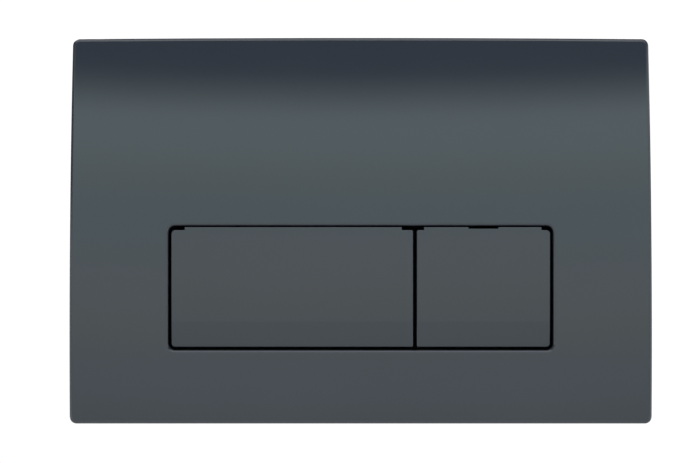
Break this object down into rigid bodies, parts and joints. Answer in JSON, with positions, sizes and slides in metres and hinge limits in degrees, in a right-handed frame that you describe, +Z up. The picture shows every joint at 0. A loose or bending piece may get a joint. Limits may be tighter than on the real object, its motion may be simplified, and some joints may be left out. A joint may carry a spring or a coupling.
{
  "type": "flush button plate",
  "caption": "Flush button plate for a concealed cistern: shallow curved rectangular face with flush hinged buttons, sprung push rods and a wall mounting frame behind.",
  "frame": {"origin": "on the wall plane, at the middle of the plate's outline", "axes": "+X to the right along the plate's width, +Y into the wall, +Z up; the face looks towards -Y"},
  "size_m": [0.246, 0.0858, 0.164],
  "materials": {
    "anthracite_plastic": "satin coated",
    "black_plastic": "matt moulded",
    "grey_plastic": "matt moulded",
    "white_plastic": "smooth moulded",
    "steel": "zinc plated",
    "black_rubber": "matt"
  },
  "bodies": {
    "plate": {"face_plate": "anthracite_plastic", "button_carrier": "black_plastic", "carrier_screws": "steel", "bracket_screws": "steel", "mounting_frame": "grey_plastic", "frame_seal": "black_rubber", "stud_washers": "steel", "full_flush_hinge_pin": "steel", "half_flush_hinge_pin": "steel", "full_flush_stop_pads": "black_rubber", "half_flush_stop_pads": "black_rubber", "full_flush_return_spring": "steel", "half_flush_return_spring": "steel", "full_flush_rod_guide": "white_plastic", "half_flush_rod_guide": "white_plastic", "full_flush_rod_bracket": "grey_plastic", "half_flush_rod_bracket": "grey_plastic", "left_wall_stud": "steel", "right_wall_stud": "steel", "left_stud_nut": "black_plastic", "right_stud_nut": "black_plastic"},
    "full_button": {"full_flush_button": "anthracite_plastic"},
    "half_button": {"half_flush_button": "anthracite_plastic"},
    "full_rod": {"full_flush_push_rod": "white_plastic", "full_flush_rod_cap": "grey_plastic", "full_flush_rod_clip": "steel"},
    "half_rod": {"half_flush_push_rod": "white_plastic", "half_flush_rod_cap": "grey_plastic", "half_flush_rod_clip": "steel"}
  },
  "joints": [
    {"name": "full_flush_press", "type": "hinge", "parent": "plate", "child": "full_button", "pos_m": [-0.02896, -0.007, -0.0059], "axis": [1, 0, 0], "range_deg": [0, 8], "stiffness_Nm_per_rad": 0.25, "springref_deg": -2.86},
    {"name": "half_flush_press", "type": "hinge", "parent": "plate", "child": "half_button", "pos_m": [0.05189, -0.007, -0.0059], "axis": [1, 0, 0], "range_deg": [0, 8], "stiffness_Nm_per_rad": 0.25, "springref_deg": -2.86},
    {"name": "full_flush_rod_slide", "type": "slide", "parent": "plate", "child": "full_rod", "axis": [0, 1, 0], "range_m": [0, 0.0048], "deforming": ["full_flush_return_spring"]},
    {"name": "half_flush_rod_slide", "type": "slide", "parent": "plate", "child": "half_rod", "axis": [0, 1, 0], "range_m": [0, 0.0048], "deforming": ["half_flush_return_spring"]}
  ],
  "couplings": [
    {"joint": "full_flush_rod_slide", "follows": "full_flush_press", "m_per_rad": 0.034},
    {"joint": "half_flush_rod_slide", "follows": "half_flush_press", "m_per_rad": 0.034}
  ]
}
